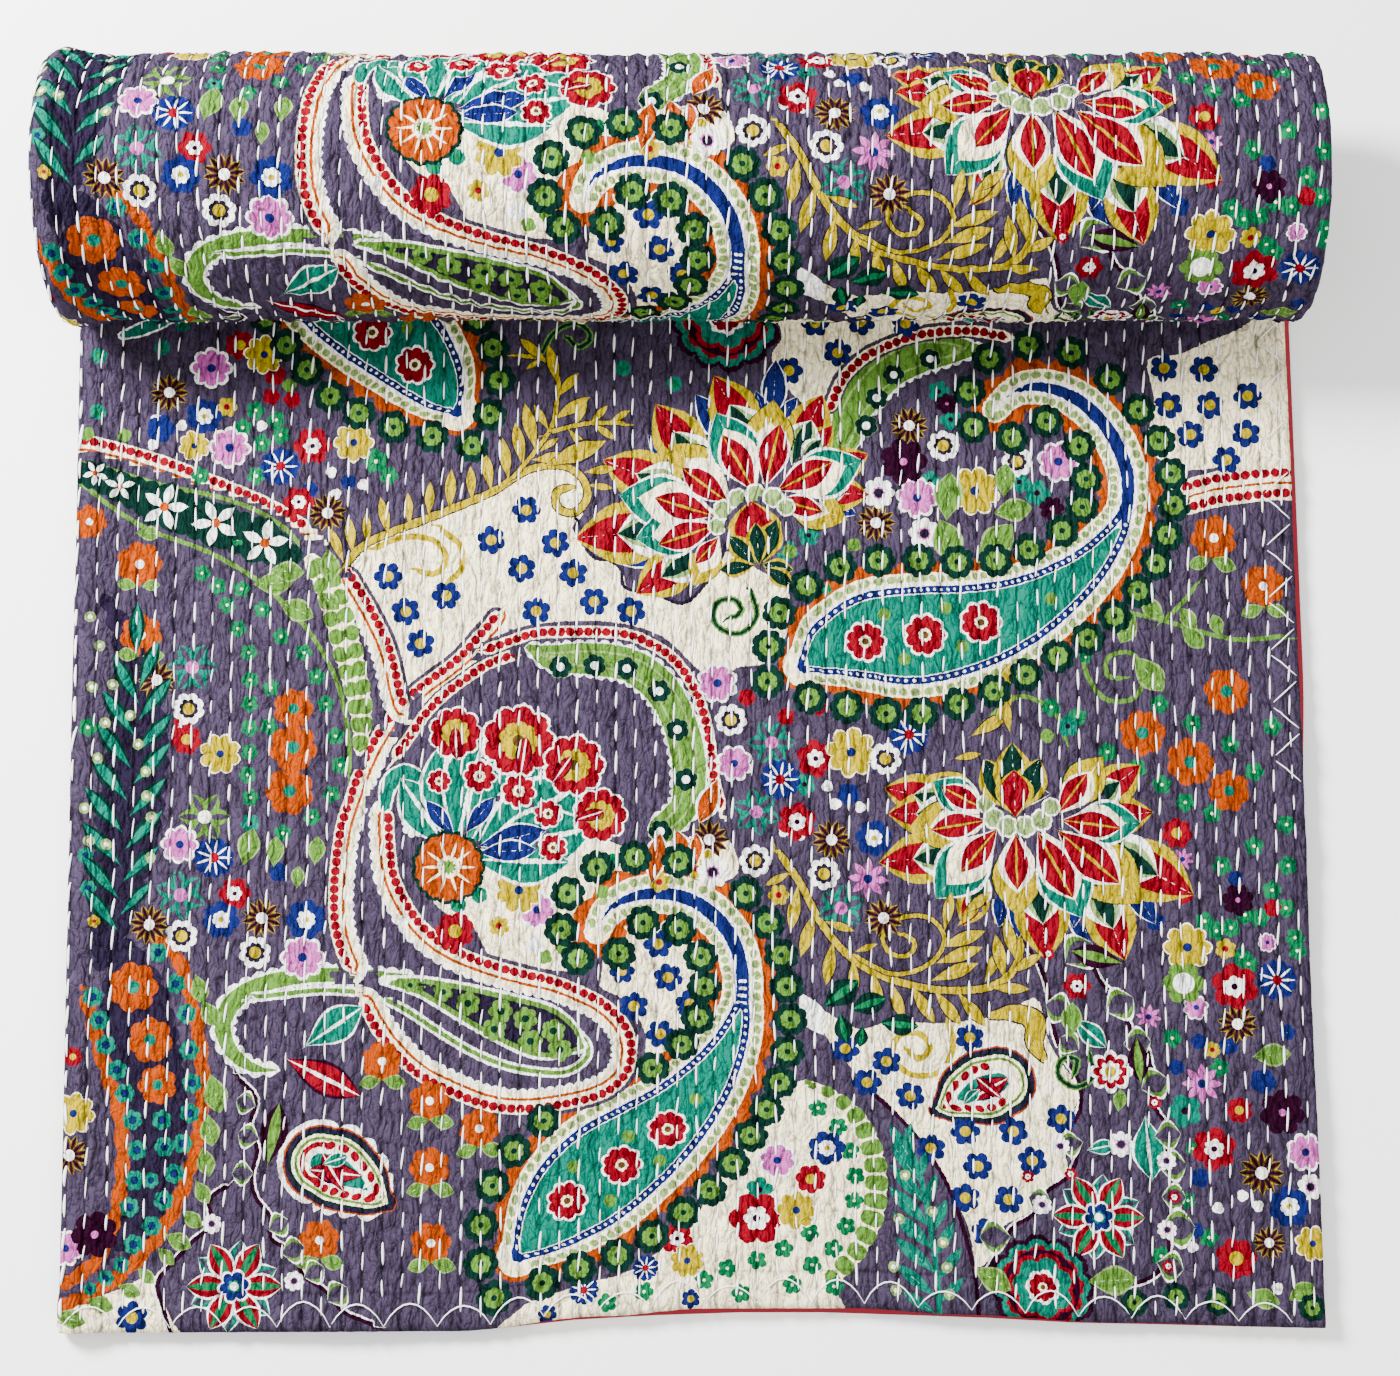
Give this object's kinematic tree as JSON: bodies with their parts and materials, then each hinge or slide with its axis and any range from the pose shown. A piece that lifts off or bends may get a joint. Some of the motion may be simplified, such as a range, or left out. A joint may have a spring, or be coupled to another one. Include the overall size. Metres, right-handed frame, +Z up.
{
  "type": "kantha quilt, folded and rolled",
  "caption": "Printed cotton kantha quilt folded in half lengthwise, its front part lying flat and its far end rolled up, with rows of white running stitches.",
  "frame": {"origin": "middle of the bottom of the box, on the surface that the quilt lies on", "axes": "+X across the folded strip to the hemmed side, +Y from the front hem to the roll, +Z up"},
  "size_m": [0.7696, 0.7708, 0.1518],
  "materials": {
    "printed_cotton": "matte printed and hand-stitched cotton"
  },
  "bodies": {
    "root": {"quilt": "printed_cotton"}
  },
  "joints": []
}
